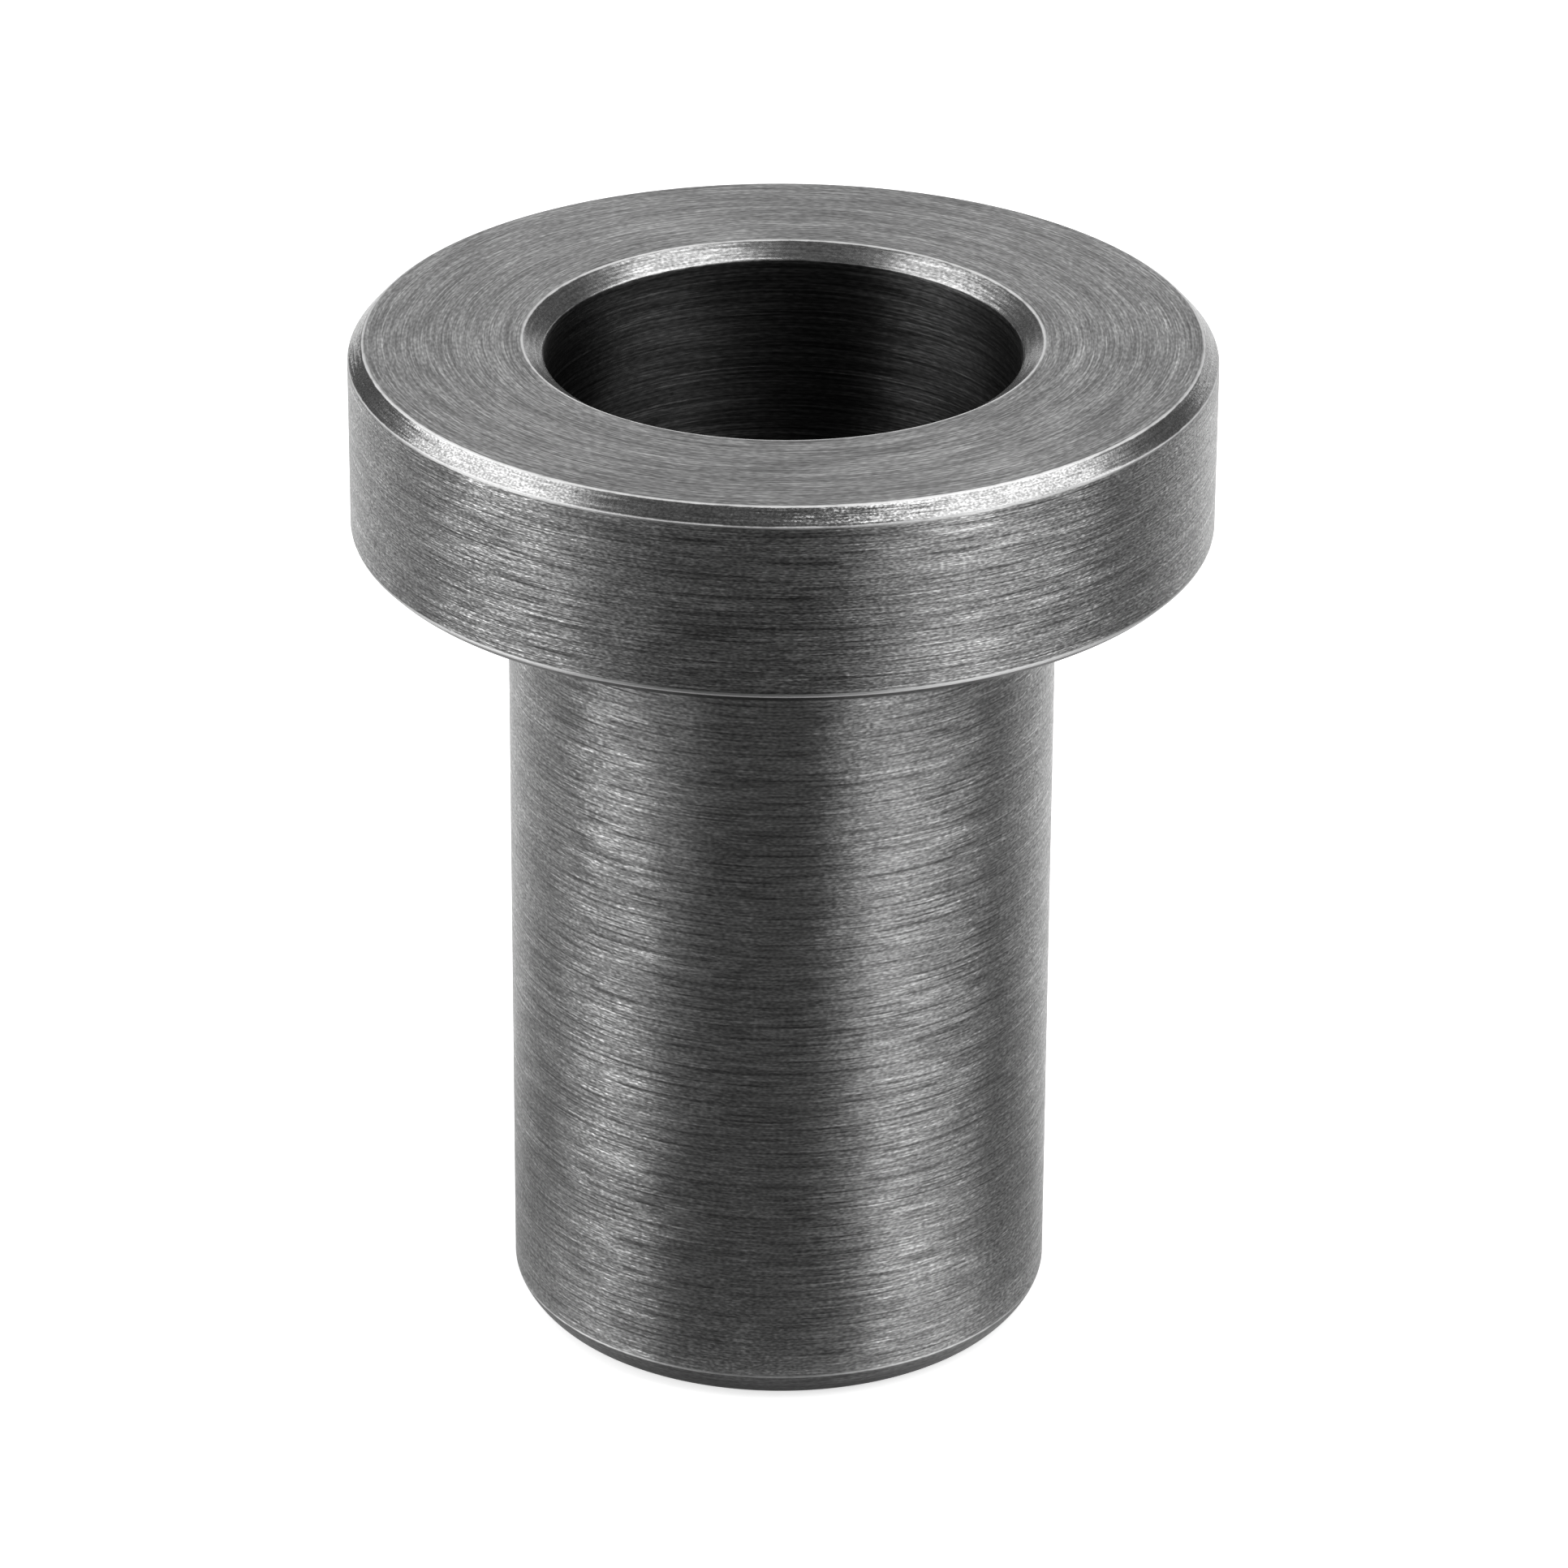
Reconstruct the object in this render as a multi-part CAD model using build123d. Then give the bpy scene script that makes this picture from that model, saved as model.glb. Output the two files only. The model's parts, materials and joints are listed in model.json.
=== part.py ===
from build123d import *
import os

# Headed drill jig bushing, turned from one piece of tool steel.
# The origin is the centre of the foot's end face, and +Z runs up the bore towards the head.
# All sizes are in millimetres.

# Heights along the axis
overall_length = 42.2
head_height = 8.0

# The bore, and what stands around it
bore_diameter = 19.0
body_wall = 1.5
head_overhang = 6.25

# Chamfers and the lead, each with its width across the axis and its height along the axis
head_chamfer_width = 0.6
head_chamfer_height = 0.65
seat_chamfer_width = 0.35
seat_chamfer_height = 0.35
mouth_chamfer_width = 0.84
mouth_chamfer_height = 0.56
lead_height = 1.15

# The lead on the foot is turned convex: its middle stands this far outside a straight chamfer
lead_bow = 0.12

# Flat ring left on the foot between the bore and the lead
foot_ring_width = 0.63

# Small roundings: on the outer edges, and in the corner where the head meets the body
edge_radius = 0.15
corner_radius = 0.3

# Radii and heights that follow from the sizes above
bore_radius = bore_diameter / 2
body_radius = bore_radius + body_wall
head_radius = body_radius + head_overhang
foot_ring_radius = bore_radius + foot_ring_width
seat_height = overall_length - head_height


def bushing_profile():
    """Half section of the bushing, with X as the radius and Y as the height."""
    foot_inner = (bore_radius, 0)
    foot_outer = (foot_ring_radius, 0)
    lead_top = (body_radius, lead_height)
    shoulder = (body_radius, seat_height)
    seat_outer = (head_radius - seat_chamfer_width, seat_height)
    rim_bottom = (head_radius, seat_height + seat_chamfer_height)
    rim_top = (head_radius, overall_length - head_chamfer_height)
    face_outer = (head_radius - head_chamfer_width, overall_length)
    mouth_outer = (bore_radius + mouth_chamfer_width, overall_length)
    mouth_inner = (bore_radius, overall_length - mouth_chamfer_height)

    straight_run = [
        lead_top,
        shoulder,
        seat_outer,
        rim_bottom,
        rim_top,
        face_outer,
        mouth_outer,
        mouth_inner,
        foot_inner,
        foot_outer,
    ]
    with BuildSketch() as profile:
        with BuildLine():
            Polyline(*straight_run)
            ThreePointArc(foot_outer, lead_middle(foot_outer, lead_top), lead_top)
        make_face()
        outer_corners = [point for point in straight_run if point != shoulder]
        fillet([corner_vertex(profile, point) for point in outer_corners], edge_radius)
        fillet(corner_vertex(profile, shoulder), corner_radius)
    return profile.sketch


def lead_middle(foot_outer, lead_top):
    """Middle of the lead's arc, pushed outwards from the middle of its chord."""
    start = Vector(*foot_outer)
    chord = Vector(*lead_top) - start
    outwards = Vector(chord.Y, -chord.X).normalized()
    return start + chord * 0.5 + outwards * lead_bow


def corner_vertex(profile, point):
    """The profile's vertex at a corner point."""
    return profile.vertices().sort_by_distance(Vector(*point))[0]


def headed_bushing():
    """The half section stood upright and turned once around the bore's axis."""
    with BuildPart() as bushing:
        add(Plane.XZ * bushing_profile())
        revolve(axis=Axis.Z)
    return bushing.part


bushing = headed_bushing()
bushing.label = "headed_bushing"

os.makedirs("parts", exist_ok=True)
export_step(bushing, "parts/headed_bushing.step")
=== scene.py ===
import bpy
import json
import math
import numpy as np
from mathutils import Euler, Matrix, Vector


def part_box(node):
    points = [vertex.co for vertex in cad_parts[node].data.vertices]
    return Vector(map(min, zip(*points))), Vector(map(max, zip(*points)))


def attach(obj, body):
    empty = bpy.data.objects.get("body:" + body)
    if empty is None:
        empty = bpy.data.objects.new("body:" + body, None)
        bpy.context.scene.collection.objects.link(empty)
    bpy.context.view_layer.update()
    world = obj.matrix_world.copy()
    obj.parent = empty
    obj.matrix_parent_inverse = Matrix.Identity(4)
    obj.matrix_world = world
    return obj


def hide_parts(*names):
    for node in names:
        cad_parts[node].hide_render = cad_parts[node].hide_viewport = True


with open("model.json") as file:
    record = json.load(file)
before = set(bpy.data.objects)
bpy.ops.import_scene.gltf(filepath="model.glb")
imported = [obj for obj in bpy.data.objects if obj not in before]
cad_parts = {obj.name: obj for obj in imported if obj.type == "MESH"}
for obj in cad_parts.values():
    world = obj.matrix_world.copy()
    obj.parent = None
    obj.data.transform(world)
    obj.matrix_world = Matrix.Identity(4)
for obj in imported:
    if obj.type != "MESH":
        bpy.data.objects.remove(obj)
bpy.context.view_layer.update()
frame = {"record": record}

mounts = {mount["name"]: mount for mount in frame["record"]["mounts"]}
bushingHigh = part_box("headed_bushing")[1]


# the camera stands at the photo's viewing angle, with a long lens
camera = {
    "distance": 0.2853,      # from the bore's axis, in metres
    "height": 0.1602,
    "lens": 178.96,          # in millimetres, like the sensor's width
    "sensorWidth": 36,
    "clipStart": 0.01,
    "lookDown": 25.754,      # degrees
    "pan": -0.023,
    "roll": 0.298,
}


def addCamera():
    aim = Euler((math.radians(90 - camera["lookDown"]), 0, math.radians(camera["pan"]))).to_matrix()
    tip = Euler((0, 0, math.radians(camera["roll"]))).to_matrix()
    bpy.ops.object.camera_add(location=(0, -camera["distance"], camera["height"]))
    eye = bpy.context.object
    eye.name = "photoCamera"
    eye.rotation_euler = (aim @ tip).to_euler()
    eye.data.lens = camera["lens"]
    eye.data.sensor_width = camera["sensorWidth"]
    eye.data.clip_start = camera["clipStart"]
    bpy.context.scene.camera = eye
    print("camera placed")


# node helpers

def plug(tree, value, socket):
    # another node's output is linked, and a plain number is set on the socket itself
    if isinstance(value, bpy.types.NodeSocket):
        tree.links.new(value, socket)
    else:
        socket.default_value = value


def addNode(tree, kind, **settings):
    node = tree.nodes.new(kind)
    for name, value in settings.items():
        setattr(node, name, value)
    return node


def mathNode(tree, operation, first, second=None, clamp=False):
    node = addNode(tree, "ShaderNodeMath", operation=operation, use_clamp=clamp)
    plug(tree, first, node.inputs[0])
    if second is not None:
        plug(tree, second, node.inputs[1])
    return node.outputs[0]


def rangeNode(tree, value, low, high, toLow=0.0, toHigh=1.0, smooth=False):
    node = addNode(tree, "ShaderNodeMapRange")
    node.interpolation_type = "SMOOTHSTEP" if smooth else "LINEAR"
    tree.links.new(value, node.inputs["Value"])
    for name, number in (("From Min", low), ("From Max", high), ("To Min", toLow), ("To Max", toHigh)):
        plug(tree, number, node.inputs[name])
    return node.outputs["Result"]


def mixNode(tree, share, first, second):
    node = addNode(tree, "ShaderNodeMix", data_type="FLOAT")
    for socket, value in zip((node.inputs[0], node.inputs[2], node.inputs[3]), (share, first, second)):
        plug(tree, value, socket)
    return node.outputs[0]


def vectorNode(tree, operation, first, second):
    node = addNode(tree, "ShaderNodeVectorMath", operation=operation)
    tree.links.new(first, node.inputs[0])
    tree.links.new(second, node.inputs["Scale"] if operation == "SCALE" else node.inputs[1])
    return node.outputs[0]


def vectorLength(tree, vector):
    node = addNode(tree, "ShaderNodeVectorMath", operation="LENGTH")
    tree.links.new(vector, node.inputs[0])
    return node.outputs["Value"]


def splitVector(tree, vector):
    node = addNode(tree, "ShaderNodeSeparateXYZ")
    tree.links.new(vector, node.inputs[0])
    return node.outputs


def objectPlace(tree):
    return addNode(tree, "ShaderNodeTexCoord").outputs["Object"]


def newGroup(name, inputs, outputs):
    # each input is a named number, and each output has a name and a kind
    tree = bpy.data.node_groups.new(name, "ShaderNodeTree")
    for socketName, value in inputs.items():
        socket = tree.interface.new_socket(name=socketName, in_out="INPUT", socket_type="NodeSocketFloat")
        socket.default_value = value
    for socketName, kind in outputs.items():
        tree.interface.new_socket(name=socketName, in_out="OUTPUT", socket_type=kind)
    inside = tree.nodes.new("NodeGroupInput")
    outside = tree.nodes.new("NodeGroupOutput")
    return tree, inside.outputs, outside.inputs


def placeGroup(tree, group, values):
    node = addNode(tree, "ShaderNodeGroup")
    node.node_tree = group
    for name, value in values.items():
        plug(tree, value, node.inputs[name])
    return node.outputs


# the studio: a pale floor, a white room seen through the openings of a dark tent, and two soft boxes.
# bearings are in degrees, 0 on the camera's side and growing to the right
studio = {
    "floorSize": 4.0,
    "floorColour": (0.8, 0.8, 0.8, 1),
    "floorRoughness": 0.9,
    "cameraLift": 0.7,       # white added to the floor where the camera looks
    "mirrorLift": 0.5,       # and where a polished surface looks
    "footRadius": 0.0098,    # nothing is added under the bushing
    "roomLevel": 1.0,
}


def plainMaterial(name, level):
    mat = bpy.data.materials.new(name)
    mat.use_nodes = True
    shader = mat.node_tree.nodes["Principled BSDF"]
    shader.inputs["Base Color"].default_value = (0, 0, 0, 1)
    shader.inputs["Specular IOR Level"].default_value = 0.0
    shader.inputs["Emission Color"].default_value = (1, 1, 1, 1)
    shader.inputs["Emission Strength"].default_value = level
    mat.cycles.emission_sampling = "NONE"
    return mat


def floorMaterial():
    mat = bpy.data.materials.new("paleFloor")
    mat.use_nodes = True
    tree = mat.node_tree
    shader = tree.nodes["Principled BSDF"]
    shader.inputs["Base Color"].default_value = studio["floorColour"]
    shader.inputs["Roughness"].default_value = studio["floorRoughness"]
    shader.inputs["Specular IOR Level"].default_value = 0.0
    shader.inputs["Emission Color"].default_value = (1, 1, 1, 1)
    path = addNode(tree, "ShaderNodeLightPath")
    mirrored = mathNode(tree, "MAXIMUM", path.outputs["Is Glossy Ray"], path.outputs["Is Transmission Ray"])
    forCamera = mathNode(tree, "MULTIPLY", path.outputs["Is Camera Ray"], studio["cameraLift"])
    forMirror = mathNode(tree, "MULTIPLY", mirrored, studio["mirrorLift"])
    away = vectorLength(tree, objectPlace(tree))
    clear = mathNode(tree, "GREATER_THAN", away, studio["footRadius"])
    lift = mathNode(tree, "MULTIPLY", mathNode(tree, "ADD", forCamera, forMirror), clear)
    tree.links.new(lift, shader.inputs["Emission Strength"])
    mat.cycles.emission_sampling = "NONE"
    return mat


def addFloor():
    bpy.ops.object.select_all(action="DESELECT")
    bpy.ops.mesh.primitive_plane_add(size=studio["floorSize"], location=(0, 0, 0))
    floor = bpy.context.object
    floor.name = "paleFloor"
    floor.data.materials.append(floorMaterial())
    world = bpy.data.worlds.new("whiteRoom")
    world.use_nodes = True
    bpy.context.scene.world = world
    background = world.node_tree.nodes["Background"]
    background.inputs["Color"].default_value = (1, 1, 1, 1)
    background.inputs["Strength"].default_value = studio["roomLevel"]
    bpy.context.scene.view_settings.view_transform = "Standard"
    print("floor and room made")


# a dome of dark cloth stands over the floor and is open at the back. Dark mats with soft edges lie on
# the floor. The camera sees neither, and the metal mirrors both. Angles are in degrees
tent = {
    "radius": 0.95,
    "segments": 96,
    "rings": 45,
    "openTo": 18.8,          # to each side of straight behind
    "openRise": 52,
    "gapTo": 50,             # a low gap reaches further round on the right
    "gapRise": 14,
    "level": 0.137,
}

# a mat covers what lies between two bearings and between two distances from the axis. Each of its
# edges is soft over the width given with it
mats = [
    {"from": -51.5, "fadeFrom": 70, "to": 27, "fadeTo": 38,
     "near": 0.011, "fadeNear": 0.014, "far": 1.0, "weight": 1.0},
    {"from": -114.5, "fadeFrom": 80, "to": -70.7, "fadeTo": 70,
     "near": 0.0144, "fadeNear": 0.02, "far": 1.0, "weight": 1.0},
    {"from": 67, "fadeFrom": 64, "to": 113.8, "fadeTo": 80,
     "near": 0.0144, "fadeNear": 0.02, "far": 1.0, "weight": 1.0},
    {"from": -80, "fadeFrom": 30, "to": 80, "fadeTo": 30,
     "near": 0.013, "fadeNear": 0.006, "far": 0.027, "weight": 0.32},
]
matSheet = {
    "radius": 0.6,           # one round sheet carries them all
    "corners": 64,
    "height": 0.0002,
    "fadeFar": 0.016,        # the far edge's width, the same for each mat
}


def hideFromCamera(thing, mat):
    thing.data.materials.append(mat)
    thing.visible_camera = False


def addTent():
    bpy.ops.object.select_all(action="DESELECT")
    bpy.ops.mesh.primitive_uv_sphere_add(segments=tent["segments"], ring_count=tent["rings"],
                                         radius=tent["radius"], location=(0, 0, 0))
    dome = bpy.context.object
    dome.name = "darkTent"
    bpy.ops.object.mode_set(mode="EDIT")
    bpy.ops.mesh.select_all(action="DESELECT")
    bpy.ops.object.mode_set(mode="OBJECT")
    for face in dome.data.polygons:
        x, y, z = face.center
        aside = math.degrees(math.atan2(x, y))
        rise = math.degrees(math.atan2(z, math.hypot(x, y)))
        isOpen = abs(aside) < tent["openTo"] and rise < tent["openRise"]
        isGap = 0 < aside < tent["gapTo"] and rise < tent["gapRise"]
        face.select = z < 0 or isOpen or isGap
    bpy.ops.object.mode_set(mode="EDIT")
    bpy.ops.mesh.delete(type="FACE")
    bpy.ops.object.mode_set(mode="OBJECT")
    hideFromCamera(dome, plainMaterial("tentCloth", tent["level"]))


def fade(tree, value, middle, width):
    return rangeNode(tree, value, middle - width / 2, middle + width / 2, smooth=True)


def matMaterial():
    mat = plainMaterial("matCloth", tent["level"])
    tree = mat.node_tree
    where = objectPlace(tree)
    split = splitVector(tree, where)
    toCamera = mathNode(tree, "MULTIPLY", split["Y"], -1.0)
    bearing = mathNode(tree, "DEGREES", mathNode(tree, "ARCTAN2", split["X"], toCamera))
    away = vectorLength(tree, where)
    cover = 0.0
    for spec in mats:
        begun = fade(tree, bearing, spec["from"], spec["fadeFrom"])
        ended = fade(tree, bearing, spec["to"], spec["fadeTo"])
        beyond = fade(tree, away, spec["near"], spec["fadeNear"])
        piece = mathNode(tree, "MULTIPLY", begun, beyond)
        piece = mathNode(tree, "MULTIPLY", piece, mathNode(tree, "SUBTRACT", 1.0, ended))
        past = fade(tree, away, spec["far"], matSheet["fadeFar"])
        piece = mathNode(tree, "MULTIPLY", piece, mathNode(tree, "SUBTRACT", 1.0, past))
        piece = mathNode(tree, "MULTIPLY", piece, spec["weight"])
        cover = mathNode(tree, "ADD", cover, piece, clamp=True)
    tree.links.new(cover, tree.nodes["Principled BSDF"].inputs["Alpha"])
    return mat


def addMats():
    bpy.ops.object.select_all(action="DESELECT")
    bpy.ops.mesh.primitive_circle_add(vertices=matSheet["corners"], radius=matSheet["radius"],
                                      fill_type="NGON", location=(0, 0, matSheet["height"]))
    cloth = bpy.context.object
    cloth.name = "darkMats"
    cloth.visible_shadow = False
    cloth.visible_diffuse = False
    hideFromCamera(cloth, matMaterial())


def addDarks():
    addTent()
    addMats()
    print("tent and mats placed")


# each soft box faces the bushing's middle
softBoxes = [
    {"name": "leftBox", "bearing": -91.0, "rise": 37.0, "wide": 0.755, "tall": 0.413, "roll": -36.8,
     "level": 2.88},
    {"name": "rightBox", "bearing": 76.1, "rise": 52.2, "wide": 0.502, "tall": 0.656, "roll": -10.8,
     "level": 3.0},
]
boxReach = 0.6               # from the bushing's middle, in metres


def addLights():
    middle = Vector((0, 0, bushingHigh.z / 2))
    for box in softBoxes:
        aim = (Matrix.Rotation(math.radians(box["bearing"]), 3, "Z")
               @ Matrix.Rotation(math.radians(90 - box["rise"]), 3, "X")
               @ Matrix.Rotation(math.radians(box["roll"]), 3, "Z"))
        place = middle + aim @ Vector((0, 0, boxReach))
        bpy.ops.object.light_add(type="AREA", location=place, rotation=aim.to_euler())
        lamp = bpy.context.object
        lamp.name = box["name"]
        lamp.visible_camera = False
        lamp.data.shape = "RECTANGLE"
        lamp.data.size = box["wide"]
        lamp.data.size_y = box["tall"]
        lamp.data.energy = box["level"] * math.pi * box["wide"] * box["tall"]
    print("soft boxes placed")


# the turned half section, in metres: its radii and heights come from the frame
bushing = {
    "headChamfer": (0.0006, 0.00065),   # across, then along the axis
    "seatChamfer": (0.00035, 0.00035),
    "mouthChamfer": (0.00084, 0.00056),
    "lead": (0.00087, 0.00115),
    "leadBow": 0.00012,      # how far its middle stands outside a straight chamfer
    "leadEnds": 1.3,         # left at each end of its curve, in edge roundings
    "edgeRounding": 0.00008,
    "footRounding": 0.00015,
    "cornerRounding": 0.0003,
    "roundingSteps": 4,
    "leadSteps": 12,
    "holdGap": 0.00016,      # plain band kept beside each rounded edge
    "holdShare": 0.36,       # and the most that it takes of a short stretch
    "startSize": 0.001,      # the plane that is merged into the section's first point
    "samePlace": 0.000001,   # points nearer than this are one
    "turnSteps": 288,
    "faceWeight": 100,       # the large faces stay flat, and the roundings turn between them
}


def leadTangent(chord):
    # the tangent's length at either end of the lead's arc, and how far from the chord the two meet
    half = chord.length / 2
    turn = 2 * math.atan(bushing["leadBow"] / half)
    return half / math.cos(turn), half * math.tan(turn)


def leadMeeting(start, end):
    chord = end - start
    outwards = Vector((chord.y, -chord.x)).normalized()
    return start + chord / 2 + outwards * leadTangent(chord)[1]


def sectionCorners():
    bore = mounts["guide_bore"]["dims"]["r_mm"] / 1000
    body = mounts["press_body"]["dims"]["r_mm"] / 1000
    seat = mounts["head_seat"]["pos_m"][2]
    head = bushingHigh.y
    top = bushingHigh.z
    headX, headZ = bushing["headChamfer"]
    seatX, seatZ = bushing["seatChamfer"]
    mouthX, mouthZ = bushing["mouthChamfer"]
    leadX, leadZ = bushing["lead"]
    footOuter = Vector((body - leadX, 0))
    leadTop = Vector((body, leadZ))
    return {
        "footInner": (bore, 0),
        "footOuter": tuple(footOuter),
        "leadMiddle": tuple(leadMeeting(footOuter, leadTop)),
        "leadTop": tuple(leadTop),
        "shoulder": (body, seat),
        "seatOuter": (head - seatX, seat),
        "rimBottom": (head, seat + seatZ),
        "rimTop": (head, top - headZ),
        "faceOuter": (head - headX, top),
        "mouthOuter": (bore + mouthX, top),
        "mouthInner": (bore, top - mouthZ),
    }


def selectVertices(mesh, wanted):
    bpy.ops.mesh.select_all(action="DESELECT")
    bpy.ops.object.mode_set(mode="OBJECT")
    for vertex in mesh.vertices:
        vertex.select = wanted(vertex.co)
    bpy.ops.object.mode_set(mode="EDIT")


def near(place):
    target = Vector((place[0], 0, place[1]))
    return lambda co: (co - target).length < bushing["samePlace"]


def drawSection(corners):
    names = list(corners)
    points = []
    for first, second in zip(names, names[1:] + names[:1]):
        start = Vector(corners[first])
        run = Vector(corners[second]) - start
        hold = run.normalized() * min(bushing["holdGap"], run.length * bushing["holdShare"])
        points.append(start)
        if "leadMiddle" not in (first, second):
            points += [start + hold, start + run - hold]
    bpy.ops.mesh.primitive_plane_add(size=bushing["startSize"], location=(points[0].x, 0, points[0].y))
    bpy.ops.object.transform_apply(location=True, rotation=False, scale=False)
    piece = bpy.context.object
    bpy.ops.object.mode_set(mode="EDIT")
    bpy.ops.mesh.merge(type="CENTER")
    for last, point in zip(points, points[1:]):
        step = point - last
        bpy.ops.mesh.extrude_vertices_move(TRANSFORM_OT_translate={"value": (step.x, 0, step.y)})
    isEnd = near(points[-1])
    isStart = near(points[0])
    selectVertices(piece.data, lambda co: isStart(co) or isEnd(co))
    bpy.ops.mesh.edge_face_add()
    return piece


def roundCorners(piece, corners):
    for name, place in corners.items():
        steps = bushing["roundingSteps"]
        size = bushing["edgeRounding"]
        if name == "shoulder":
            size = bushing["cornerRounding"]
        if name == "footInner":
            size = bushing["footRounding"]
        if name == "leadMiddle":
            chord = Vector(corners["leadTop"]) - Vector(corners["footOuter"])
            size = leadTangent(chord)[0] - bushing["leadEnds"] * bushing["edgeRounding"]
            steps = bushing["leadSteps"]
        selectVertices(piece.data, near(place))
        bpy.ops.mesh.bevel(offset=size, segments=steps, affect="VERTICES", clamp_overlap=False)


def makeBushing():
    corners = sectionCorners()
    bpy.ops.object.select_all(action="DESELECT")
    piece = drawSection(corners)
    piece.name = "turnedBushing"
    roundCorners(piece, corners)
    bpy.ops.mesh.select_all(action="SELECT")
    bpy.ops.mesh.spin(steps=bushing["turnSteps"], angle=math.tau, center=(0, 0, 0), axis=(0, 0, 1))
    bpy.ops.mesh.select_all(action="SELECT")
    bpy.ops.mesh.remove_doubles(threshold=bushing["samePlace"])
    bpy.ops.mesh.normals_make_consistent(inside=False)
    bpy.ops.object.mode_set(mode="OBJECT")
    bpy.ops.object.shade_smooth()
    weigh = piece.modifiers.new("weighNormals", "WEIGHTED_NORMAL")
    weigh.weight = bushing["faceWeight"]
    bpy.ops.object.modifier_apply(modifier=weigh.name)
    sectionLength = layOutMap(piece, list(corners.values()))
    markEdges(piece, corners)
    print("bushing turned:", len(piece.data.polygons), "faces")
    return piece, sectionLength


def sectionPlaces(points):
    # the radius and height of each point
    return np.column_stack([np.hypot(points[:, 0], points[:, 1]), points[:, 2]])


def alongSection(places, corners):
    # distance along the half section of the nearest point to each (radius, height) pair
    best = np.full(len(places), np.inf)
    found = np.zeros(len(places))
    travelled = 0.0
    for start, end in zip(corners, corners[1:] + corners[:1]):
        start, end = np.array(start), np.array(end)
        run = end - start
        length = np.linalg.norm(run)
        share = np.clip((places - start) @ run / length**2, 0, 1)
        gap = np.linalg.norm(places - start - share[:, None] * run, axis=1)
        closer = gap < best
        best[closer] = gap[closer]
        found[closer] = travelled + share[closer] * length
        travelled += length
    return found, travelled


def layOutMap(piece, corners):
    # one flat sheet: once round the axis is its width, once round the half section its height
    mesh = piece.data
    co = np.array([v.co for v in mesh.vertices])
    turn = np.arctan2(co[:, 1], co[:, 0]) / math.tau + 0.5
    along, total = alongSection(sectionPlaces(co), corners)
    along = along / total
    layer = mesh.uv_layers.new(name="OFBake")
    for face in mesh.polygons:
        spots = [mesh.loops[i].vertex_index for i in face.loop_indices]
        for values, axis in ((turn, 0), (along, 1)):
            mine = values[spots]
            if mine.max() - mine.min() > 0.5:        # a face on the seam stays in one piece
                mine = np.where(mine < 0.5, mine + 1, mine)
            for i, value in zip(face.loop_indices, mine):
                layer.data[i].uv[axis] = value
    return float(total)


# how hard each edge is rubbed and lit: its bright line is partly real wear and partly a painted highlight,
# and past 1 it grows wider
edgeRub = {
    "faceOuter": 1.0,
    "mouthOuter": 0.95,
    "rimTop": 1.0,
    "rimBottom": 1.8,
    "leadTop": 0.85,
    "seatOuter": 0.0,
    "footOuter": 0.3,
    "mouthInner": 0.6,
    "footInner": 0.3,
}
# rubbed edges are lighter and rougher steel: partly real wear, partly a painted highlight along the edge
wear = {
    "reach": 0.9,            # how much of the plain band beside an edge is rubbed
    "breakSize": 0.0006,     # the rub is broken up by a noise of this size
    "breakDetail": 3.0,
    "breakFrom": 0.3,
    "breakTo": 0.7,
    "leastRub": 0.8,
    "mostRub": 1.1,
    "brightFrom": 0.35,
    "brightTo": 0.75,
    "colour": 0.8,
    "roughness": 0.62,
    "fadeFrom": 0.2,         # the tool's marks fade where the rub is between these
    "fadeTo": 0.9,
    "marksLeft": 0.3,
}


# the rub along each edge drives both the wear and the painted highlight
def markEdges(piece, corners):
    mesh = piece.data
    places = sectionPlaces(np.array([v.co for v in mesh.vertices]))
    reach = bushing["holdGap"] * wear["reach"]
    rubAndGlint = np.zeros(len(places))
    for name, strength in edgeRub.items():
        gap = np.linalg.norm(places - np.array(corners[name]), axis=1)
        rubAndGlint = np.maximum(rubAndGlint, strength * np.clip(1 - gap / reach, 0, 1))
    layer = mesh.attributes.new("edgeRub", "FLOAT", "POINT")
    layer.data.foreach_set("value", rubAndGlint.astype(np.float32))


# an anisotropic roughness lies wide across the grooves and narrow along them
steel = {
    "colour": 0.3,
    "roughnessSpread": 0.04,     # its brightest marks are this much smoother, and its darkest rougher
    "grooveTurn": 0.25,          # a quarter turn, from along the grooves to across them
}
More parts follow.
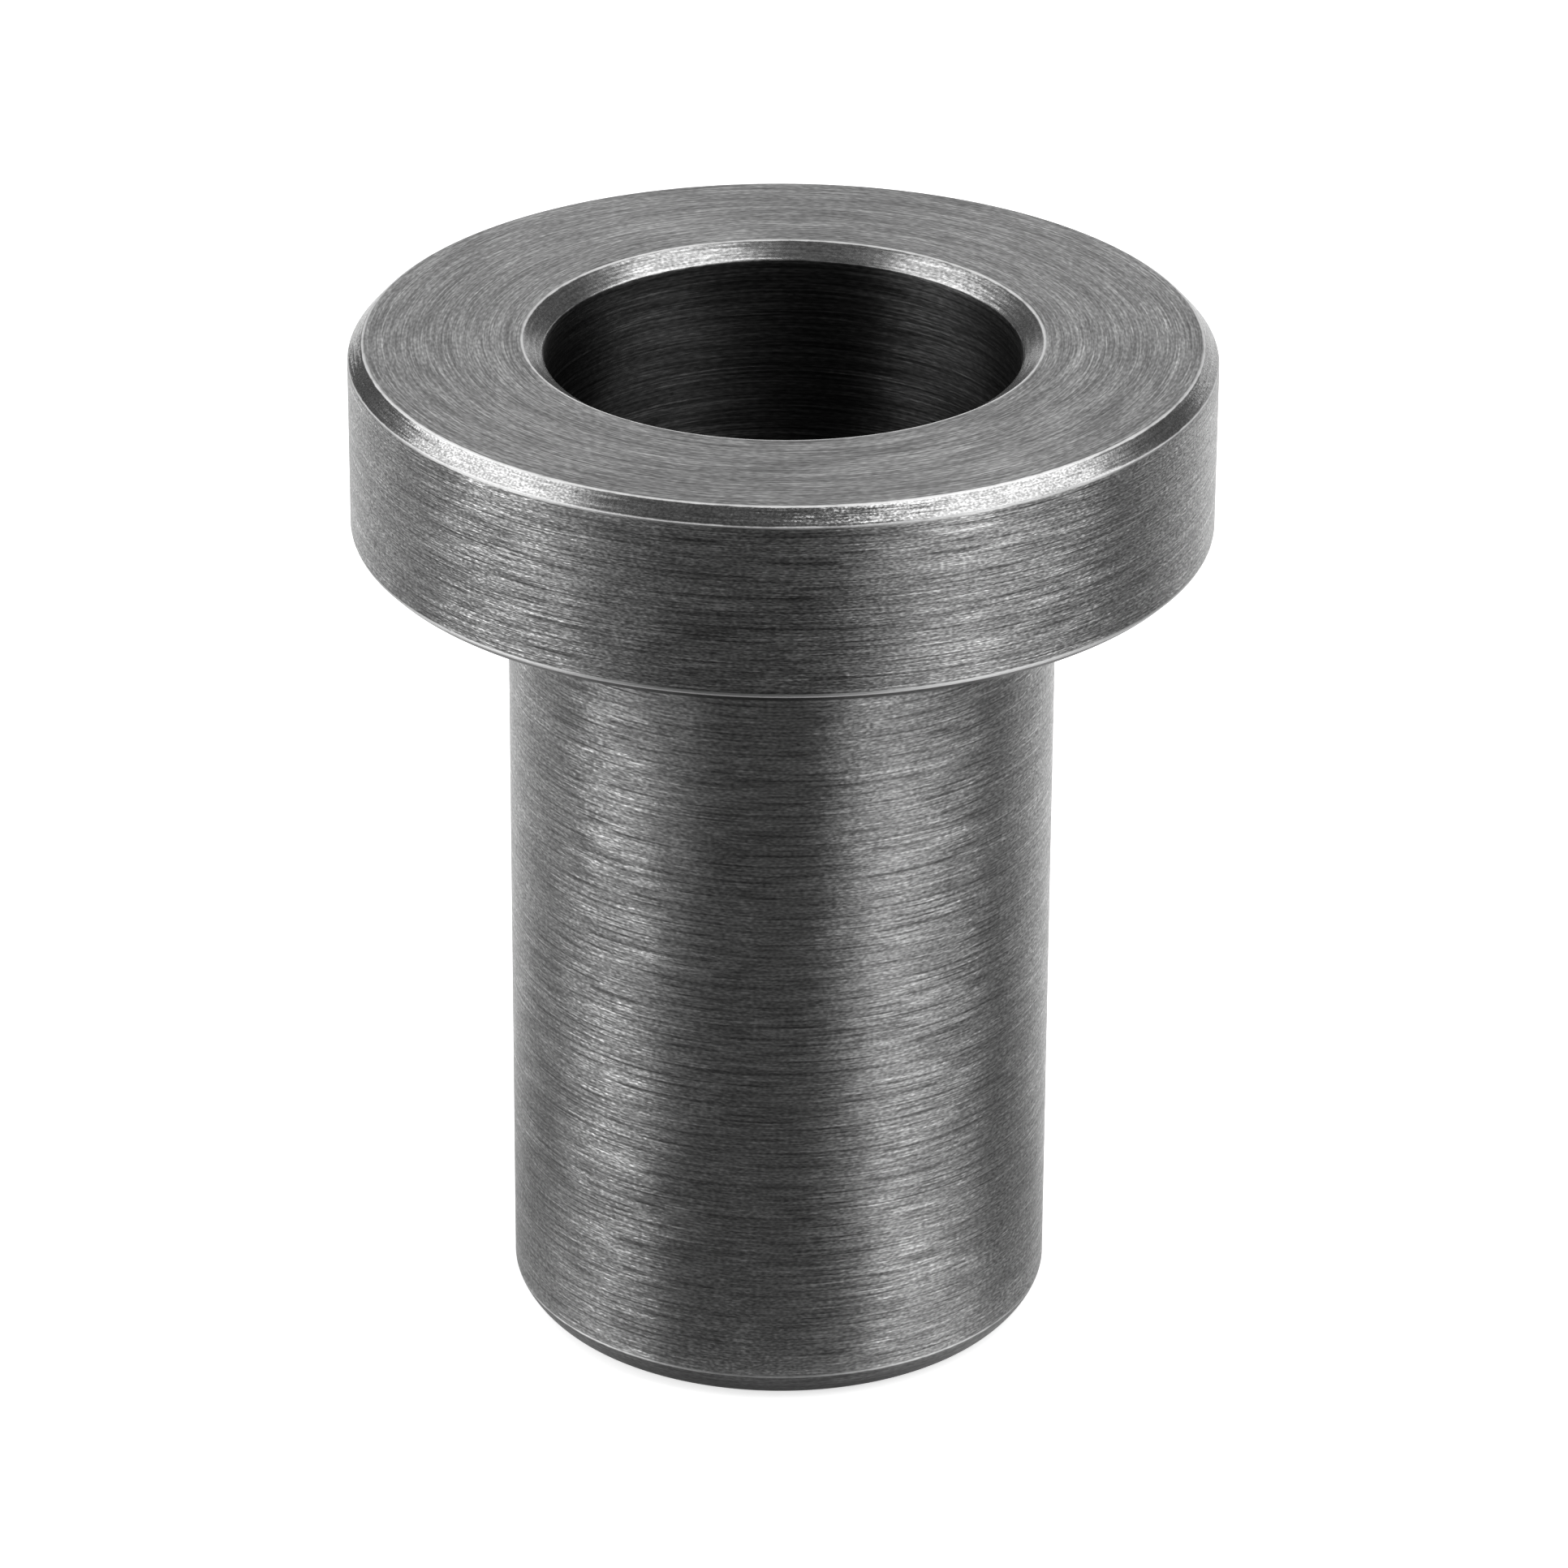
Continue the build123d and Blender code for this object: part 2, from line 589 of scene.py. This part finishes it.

# the finishes. Each is the steel as one tool cut it, and they share the groups below. Lengths are in
# metres: length and pitch are a streak's, feed is the tool's travel in one turn, and bump is the
# marks' depth. A tone is how much a mark lightens or darkens the steel, and lean and tip are how far
# the streaks turn its surface. level scales the whole tone, and the foot tone sets the tone at the foot
# alone, which is painted contact shade
finishes = {
    "headSide": {
        "roughness": 0.345, "anisotropic": 1.0, "level": 1.0, "footTone": 1.0,
        "length": 0.0019, "pitch": 0.000045, "feed": 0.00021,
        "grainLength": 0.00017, "grainWidth": 0.00005,
        "lineTone": 0.42, "grooveTone": 0.5, "scratchTone": 0.5, "grainTone": 0.56, "pitTone": 0.3,
        "lean": 0.02, "tip": 0.38, "bump": 0.000005,
    },
    "bodySide": {
        "roughness": 0.345, "anisotropic": 1.0, "level": 1.08, "footTone": 1.0,
        "length": 0.0017, "pitch": 0.00007, "feed": 0.0003,
        "grainLength": 0.00018, "grainWidth": 0.00007,
        "lineTone": 0.36, "grooveTone": 0.45, "scratchTone": 0.4, "grainTone": 0.42, "pitTone": 0.3,
        "lean": 0.02, "tip": 0.34, "bump": 0.000005,
    },
    # the lead is darker than the sides all over, and its foot tone darkens it further towards the foot as
    # painted contact shade
    "leadTaper": {
        "roughness": 0.358, "anisotropic": 0.9, "level": 0.52, "footTone": 0.15,
        "length": 0.0030, "pitch": 0.00009, "feed": 0.0003,
        "grainLength": 0.00022, "grainWidth": 0.00008,
        "lineTone": 0.3, "grooveTone": 0.1, "scratchTone": 0.1, "grainTone": 0.3, "pitTone": 0.2,
        "lean": 0.02, "tip": 0.03, "bump": 0.000003,
    },
    # the seat chamfer's low level darkens it under the head: painted shade
    "seatChamfer": {
        "roughness": 0.36, "anisotropic": 0.5, "level": 0.3, "footTone": 1.0,
        "length": 0.0020, "pitch": 0.00009, "feed": 0.0003,
        "grainLength": 0.0002, "grainWidth": 0.00008,
        "lineTone": 0.2, "grooveTone": 0.1, "scratchTone": 0.1, "grainTone": 0.2, "pitTone": 0.2,
        "lean": 0.02, "tip": 0.02, "bump": 0.000003,
    },
    "turnedFace": {
        "roughness": 0.496, "anisotropic": 0.52, "level": 0.9, "footTone": 1.0,
        "length": 0.0030, "pitch": 0.00007, "feed": 0.00026,
        "grainLength": 0.0003, "grainWidth": 0.00008,
        "lineTone": 0.42, "grooveTone": 0.16, "scratchTone": 0.35, "grainTone": 0.36, "pitTone": 0.15,
        "lean": 0.02, "tip": 0.04, "bump": 0.000004,
    },
    "cutChamfer": {
        "roughness": 0.26, "anisotropic": 0.0, "level": 0.9, "footTone": 1.0,
        "length": 0.0015, "pitch": 0.00006, "feed": 0.0002,
        "grainLength": 0.00011, "grainWidth": 0.00007,
        "lineTone": 0.25, "grooveTone": 0.1, "scratchTone": 0.2, "grainTone": 0.5, "pitTone": 0.5,
        "lean": 0.03, "tip": 0.1, "bump": 0.000001,
    },
    "mouthChamfer": {
        "roughness": 0.26, "anisotropic": 0.0, "level": 0.97, "footTone": 1.0,
        "length": 0.0018, "pitch": 0.00008, "feed": 0.0003,
        "grainLength": 0.00016, "grainWidth": 0.0001,
        "lineTone": 0.3, "grooveTone": 0.1, "scratchTone": 0.2, "grainTone": 0.4, "pitTone": 0.4,
        "lean": 0.02, "tip": 0.03, "bump": 0.000001,
    },
    # the bored wall's low level darkens the bore: painted shade in the recess
    "boredWall": {
        "roughness": 0.43, "anisotropic": 0.9, "level": 0.22, "footTone": 1.0,
        "length": 0.0034, "pitch": 0.00009, "feed": 0.0004,
        "grainLength": 0.0003, "grainWidth": 0.00008,
        "lineTone": 0.75, "grooveTone": 0.5, "scratchTone": 0.6, "grainTone": 0.4, "pitTone": 0.3,
        "lean": 0.03, "tip": 0.06, "bump": 0.000005,
    },
}

# how every finish's marks are drawn from noise
toolMarks = {
    "noiseLow": 0.25,        # most of the noise lies between these
    "noiseHigh": 0.75,
    "noiseRoughness": 0.55,
    "lineDetail": 1.0,       # for the streaks and their bands
    "grainDetail": 0.5,
    "longer": 1.6,           # a band's, scratch's or groove's length, in streak lengths
    "bandPitch": 10.0,       # in streak pitches
    "bandTone": 0.45,
    "scratchFrom": 0.36,
    "scratchTo": 0.24,
    "wanderLength": 14.0,    # a groove wanders over this many streak lengths
    "wanderPitch": 1.7,      # and feeds
    "wanderTurns": 1.6,
    "grooveFrom": 0.3,       # how much of each turn's wave is a groove
    "grooveTo": 0.9,
    "lastingPitch": 1.2,     # a groove comes and goes, in feeds
    "lastingFrom": 0.42,
    "lastingTo": 0.58,
    "streakTip": 0.6,
    "facetTip": 0.8,
    "bandTip": 0.3,
}
# where in the noise each mark is read, so that no two follow each other
noisePlaces = {
    "streaks": 0.0,
    "scratches": 31.7,
    "grain": 77.1,
    "lean": 153.3,
    "facets": 211.9,
    "wander": 263.5,
    "lasting": 347.9,
    "bands": 421.3,
}


def centred(tree, noise, reach=1.0):
    # the noise as a value from -reach to reach
    return rangeNode(tree, noise, toolMarks["noiseLow"], toolMarks["noiseHigh"], -reach, reach)


def turningGroup(sectionLength):
    # lines left by the tool: fine streaks on broad bands, dark grooves, bright scratches and a short grain
    tree, given, out = newGroup(
        "turningLines",
        {"Length": 0.003, "Pitch": 0.0001, "Feed": 0.0003, "Grain Length": 0.0002, "Grain Width": 0.0001},
        {name: "NodeSocketFloat" for name in ("Streaks", "Grooves", "Scratches", "Grain", "Lean", "Tip")},
    )
    split = splitVector(tree, objectPlace(tree))
    mapped = addNode(tree, "ShaderNodeUVMap", uv_map="OFBake")
    mappedHeight = splitVector(tree, mapped.outputs[0])["Y"]
    along = mathNode(tree, "MULTIPLY", mappedHeight, sectionLength)

    def stretched(mark, length, pitch, detail=0.0):
        join = addNode(tree, "ShaderNodeCombineXYZ")
        tree.links.new(mathNode(tree, "DIVIDE", split["X"], length), join.inputs[0])
        tree.links.new(mathNode(tree, "DIVIDE", split["Y"], length), join.inputs[1])
        steps = mathNode(tree, "DIVIDE", along, pitch)
        tree.links.new(mathNode(tree, "ADD", steps, noisePlaces[mark]), join.inputs[2])
        noise = addNode(tree, "ShaderNodeTexNoise", noise_dimensions="3D")
        noise.inputs["Scale"].default_value = 1.0
        noise.inputs["Detail"].default_value = detail
        noise.inputs["Roughness"].default_value = toolMarks["noiseRoughness"]
        tree.links.new(join.outputs[0], noise.inputs["Vector"])
        return noise.outputs["Fac"]

    def times(socketName, factor):
        return mathNode(tree, "MULTIPLY", given[socketName], toolMarks[factor])

    longer = times("Length", "longer")
    streaks = stretched("streaks", given["Length"], given["Pitch"], toolMarks["lineDetail"])
    scratches = stretched("scratches", longer, given["Pitch"])
    grain = stretched("grain", given["Grain Length"], given["Grain Width"], toolMarks["grainDetail"])
    lean = stretched("lean", given["Length"], given["Pitch"])
    facets = stretched("facets", given["Grain Length"], given["Grain Width"])
    bands = stretched("bands", longer, times("Pitch", "bandPitch"), toolMarks["lineDetail"])
    lines = mathNode(tree, "ADD", centred(tree, streaks), centred(tree, bands, toolMarks["bandTone"]))
    tree.links.new(lines, out["Streaks"])
    # the tool leaves one dark groove for each turn, which wanders and fades
    wander = stretched("wander", times("Length", "wanderLength"), times("Feed", "wanderPitch"))
    turns = mathNode(tree, "ADD", mathNode(tree, "DIVIDE", along, given["Feed"]),
                     mathNode(tree, "MULTIPLY", wander, toolMarks["wanderTurns"]))
    wave = mathNode(tree, "SINE", mathNode(tree, "MULTIPLY", turns, math.tau))
    groove = rangeNode(tree, wave, toolMarks["grooveFrom"], toolMarks["grooveTo"], smooth=True)
    kept = stretched("lasting", longer, times("Feed", "lastingPitch"))
    lasting = rangeNode(tree, kept, toolMarks["lastingFrom"], toolMarks["lastingTo"], smooth=True)
    grooves = mathNode(tree, "MULTIPLY", groove, lasting)
    tree.links.new(grooves, out["Grooves"])
    bright = rangeNode(tree, scratches, toolMarks["scratchFrom"], toolMarks["scratchTo"], smooth=True)
    tree.links.new(bright, out["Scratches"])
    tree.links.new(centred(tree, grain), out["Grain"])
    tree.links.new(centred(tree, lean), out["Lean"])
    # a streak tips as one, its band and each short facet on it a little more, and on the sides a groove
    # faces down
    tips = mathNode(tree, "ADD", centred(tree, streaks, toolMarks["streakTip"]),
                    centred(tree, facets, toolMarks["facetTip"]))
    tips = mathNode(tree, "ADD", tips, centred(tree, bands, toolMarks["bandTip"]))
    tree.links.new(mathNode(tree, "SUBTRACT", tips, grooves), out["Tip"])
    return tree


smallPits = {
    "spacing": 0.0012,
    "size": 0.00009,
}


def pitGroup():
    # a few tiny dark pits
    tree, given, out = newGroup(
        "smallPits",
        {"Spacing": smallPits["spacing"], "Size": smallPits["size"]},
        {"Pits": "NodeSocketFloat"},
    )
    where = objectPlace(tree)
    cells = addNode(tree, "ShaderNodeTexVoronoi", feature="F1")
    tree.links.new(where, cells.inputs["Vector"])
    tree.links.new(mathNode(tree, "DIVIDE", 1.0, given["Spacing"]), cells.inputs["Scale"])
    away = mathNode(tree, "MULTIPLY", cells.outputs["Distance"], given["Spacing"])
    half = mathNode(tree, "MULTIPLY", given["Size"], 0.5)
    tree.links.new(rangeNode(tree, away, half, given["Size"], 1, 0, smooth=True), out["Pits"])
    return tree


def leanGroup():
    # each streak leans a little to one side and tips a little across the grooves
    tree, given, out = newGroup(
        "leaningStreaks",
        {"Lean": 0.0, "Lean Amount": 0.02, "Tip": 0.0, "Tip Amount": 0.04},
        {"Normal": "NodeSocketVector"},
    )
    surface = addNode(tree, "ShaderNodeNewGeometry").outputs["Normal"]
    tangent = addNode(tree, "ShaderNodeTangent", direction_type="RADIAL", axis="Z").outputs[0]
    across = vectorNode(tree, "CROSS_PRODUCT", surface, tangent)
    leaning = mathNode(tree, "MULTIPLY", given["Lean"], given["Lean Amount"])
    tipping = mathNode(tree, "MULTIPLY", given["Tip"], given["Tip Amount"])
    pushed = vectorNode(tree, "ADD", surface, vectorNode(tree, "SCALE", tangent, leaning))
    pushed = vectorNode(tree, "ADD", pushed, vectorNode(tree, "SCALE", across, tipping))
    unit = addNode(tree, "ShaderNodeVectorMath", operation="NORMALIZE")
    tree.links.new(pushed, unit.inputs[0])
    tree.links.new(unit.outputs[0], out["Normal"])
    return tree


def wearAndGlintGroup():
    # edges rubbed bright, broken up a little, which is partly wear and partly a painted highlight
    tree, given, out = newGroup(
        "edgeWear",
        {"Break Size": wear["breakSize"]},
        {"Wear": "NodeSocketFloat", "Rub": "NodeSocketFloat"},
    )
    rubAndGlint = addNode(tree, "ShaderNodeAttribute", attribute_name="edgeRub").outputs["Fac"]
    where = objectPlace(tree)
    fine = mathNode(tree, "DIVIDE", 1.0, given["Break Size"])
    noise = addNode(tree, "ShaderNodeTexNoise", noise_dimensions="3D")
    noise.inputs["Detail"].default_value = wear["breakDetail"]
    tree.links.new(where, noise.inputs["Vector"])
    tree.links.new(fine, noise.inputs["Scale"])
    broken = rangeNode(tree, noise.outputs["Fac"], wear["breakFrom"], wear["breakTo"],
                       wear["leastRub"], wear["mostRub"])
    raised = mathNode(tree, "MULTIPLY", rubAndGlint, broken)
    bright = rangeNode(tree, raised, wear["brightFrom"], wear["brightTo"], smooth=True)
    tree.links.new(bright, out["Wear"])
    tree.links.new(rubAndGlint, out["Rub"])
    return tree


def footShade(tree, footTone):
    # painted contact shade: the tone falls towards the foot
    height = splitVector(tree, objectPlace(tree))["Z"]
    return rangeNode(tree, height, 0, bushing["lead"][1], footTone, 1)


def markSum(tree, finish, lines):
    # the tool's marks as one value, which lightens the steel above 0 and darkens it below
    marks = mathNode(tree, "MULTIPLY", lines["Streaks"], finish["lineTone"])
    for mark, strength in (("Grain", finish["grainTone"]), ("Grooves", -finish["grooveTone"]),
                           ("Scratches", finish["scratchTone"])):
        marks = mathNode(tree, "ADD", marks, mathNode(tree, "MULTIPLY", lines[mark], strength))
    return marks


def steelTone(tree, finish, marks, pits):
    pitted = mathNode(tree, "SUBTRACT", 1.0, mathNode(tree, "MULTIPLY", pits, finish["pitTone"]))
    # a power keeps the marks' brights further from the plain tone than their darks
    power = mathNode(tree, "POWER", math.e, marks)
    tone = mathNode(tree, "MULTIPLY", power, steel["colour"] * finish["level"])
    tone = mathNode(tree, "MINIMUM", mathNode(tree, "MULTIPLY", tone, pitted), wear["colour"])
    # painted contact shade darkens the tone towards the foot
    return mathNode(tree, "MULTIPLY", tone, footShade(tree, finish["footTone"]))


def steelMaterial(name, groups):
    finish = finishes[name]
    mat = bpy.data.materials.new(name)
    mat.use_nodes = True
    tree = mat.node_tree
    shader = tree.nodes["Principled BSDF"]
    shader.inputs["Metallic"].default_value = 1.0
    shader.inputs["Anisotropic"].default_value = finish["anisotropic"]
    shader.inputs["Anisotropic Rotation"].default_value = steel["grooveTurn"]
    tangent = addNode(tree, "ShaderNodeTangent", direction_type="RADIAL", axis="Z")
    tree.links.new(tangent.outputs[0], shader.inputs["Tangent"])
    lines = placeGroup(tree, groups["turning"], {
        "Length": finish["length"],
        "Pitch": finish["pitch"],
        "Feed": finish["feed"],
        "Grain Length": finish["grainLength"],
        "Grain Width": finish["grainWidth"],
    })
    marks = markSum(tree, finish, lines)
    edge = placeGroup(tree, groups["wear"], {"Break Size": wear["breakSize"]})
    plain = rangeNode(tree, edge["Rub"], wear["fadeFrom"], wear["fadeTo"], 1.0, wear["marksLeft"])
    marks = mathNode(tree, "MULTIPLY", marks, plain)
    pits = placeGroup(tree, groups["pits"], {"Spacing": smallPits["spacing"], "Size": smallPits["size"]})
    tone = steelTone(tree, finish, marks, pits["Pits"])
    # the rubbed edges' lighter colour is partly wear and partly a painted highlight
    tree.links.new(mixNode(tree, edge["Wear"], tone, wear["colour"]), shader.inputs["Base Color"])
    rough = rangeNode(tree, marks, -1, 1, finish["roughness"] + steel["roughnessSpread"],
                      finish["roughness"] - steel["roughnessSpread"])
    tree.links.new(mixNode(tree, edge["Wear"], rough, wear["roughness"]), shader.inputs["Roughness"])
    leaned = placeGroup(tree, groups["lean"], {
        "Lean": lines["Lean"],
        "Lean Amount": finish["lean"],
        "Tip": lines["Tip"],
        "Tip Amount": finish["tip"],
    })["Normal"]
    bump = addNode(tree, "ShaderNodeBump")
    bump.inputs["Strength"].default_value = 1.0
    bump.inputs["Distance"].default_value = finish["bump"]
    tree.links.new(marks, bump.inputs["Height"])
    tree.links.new(leaned, bump.inputs["Normal"])
    tree.links.new(bump.outputs[0], shader.inputs["Normal"])
    return mat


# which finish each stretch of the half section has, in the order of its corners
stretches = [
    ("footInner", "turnedFace"),
    ("footOuter", "leadTaper"),
    ("leadMiddle", "leadTaper"),
    ("leadTop", "bodySide"),
    ("shoulder", "turnedFace"),
    ("seatOuter", "seatChamfer"),
    ("rimBottom", "headSide"),
    ("rimTop", "cutChamfer"),
    ("faceOuter", "turnedFace"),
    ("mouthOuter", "mouthChamfer"),
    ("mouthInner", "boredWall"),
]


def dressBushing(piece, sectionLength):
    groups = {
        "turning": turningGroup(sectionLength),
        "pits": pitGroup(),
        "lean": leanGroup(),
        "wear": wearAndGlintGroup(),
    }
    slots = list(finishes)
    for name in slots:
        piece.data.materials.append(steelMaterial(name, groups))
    corners = sectionCorners()
    points = [corners[name] for name, finish in stretches]
    ends = np.cumsum([math.dist(start, end) for start, end in zip(points, points[1:] + points[:1])])
    centres = np.array([face.center for face in piece.data.polygons])
    along = alongSection(sectionPlaces(centres), points)[0]
    which = np.clip(np.searchsorted(ends, along), 0, len(stretches) - 1)
    for face, number in zip(piece.data.polygons, which):
        face.material_index = slots.index(stretches[number][1])
    print("finishes given")


addCamera()
addFloor()
addDarks()
addLights()
turned, turnedLength = makeBushing()
dressBushing(turned, turnedLength)
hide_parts("headed_bushing")
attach(turned, "root")
